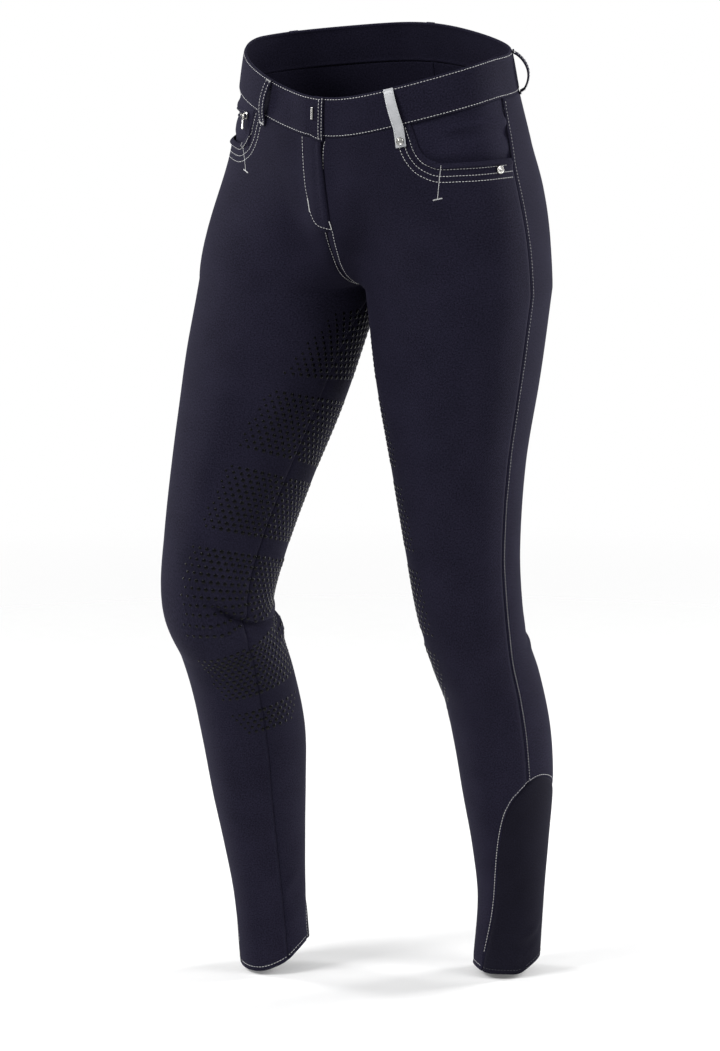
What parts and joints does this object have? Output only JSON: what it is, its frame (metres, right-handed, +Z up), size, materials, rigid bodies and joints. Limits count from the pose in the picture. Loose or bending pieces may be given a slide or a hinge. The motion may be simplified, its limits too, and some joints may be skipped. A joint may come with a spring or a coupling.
{
  "type": "riding breeches",
  "caption": "Full-length riding breeches in worn form: dark stretch cloth, fly front, scoop pockets, belt loops, stretch ankle inserts and a gripping print on seat and inner legs.",
  "frame": {"origin": "middle of the wearer's waist, level with the top of the band at the side seams", "axes": "+Z up, the front faces -Y, +X is the wearer's left"},
  "size_m": [0.36, 0.3231, 0.9915],
  "materials": {
    "breeches_cloth": "matt stretch twill",
    "stretch_insert": "fine stretch knit",
    "silver_leatherette": "satin",
    "bright_metal": "polished"
  },
  "bodies": {
    "breeches": {"front_right": "breeches_cloth", "front_left": "breeches_cloth", "back_right": "breeches_cloth", "back_left": "breeches_cloth", "ankle_insert_right": "stretch_insert", "ankle_insert_left": "stretch_insert", "pocket_facing_right": "breeches_cloth", "pocket_facing_left": "breeches_cloth", "waistband": "breeches_cloth", "belt_loop_front_right": "breeches_cloth", "belt_loop_side_left": "breeches_cloth", "belt_loop_side_right": "breeches_cloth", "belt_loop_back": "breeches_cloth", "belt_loop_front_left": "silver_leatherette", "pocket_rivet_left": "bright_metal", "pocket_rivet_right": "bright_metal", "loop_rivet": "bright_metal", "band_fastener": "bright_metal", "coin_zip_slider": "bright_metal"},
    "pull": {"zip_pull_tab": "bright_metal"}
  },
  "joints": [
    {"name": "zip_pull_swing", "type": "hinge", "parent": "breeches", "child": "pull", "pos_m": [-0.11136, -0.07831, -0.07002], "axis": [-0.8572, 0.5136, 0.0381], "range_deg": [0, 150]}
  ]
}
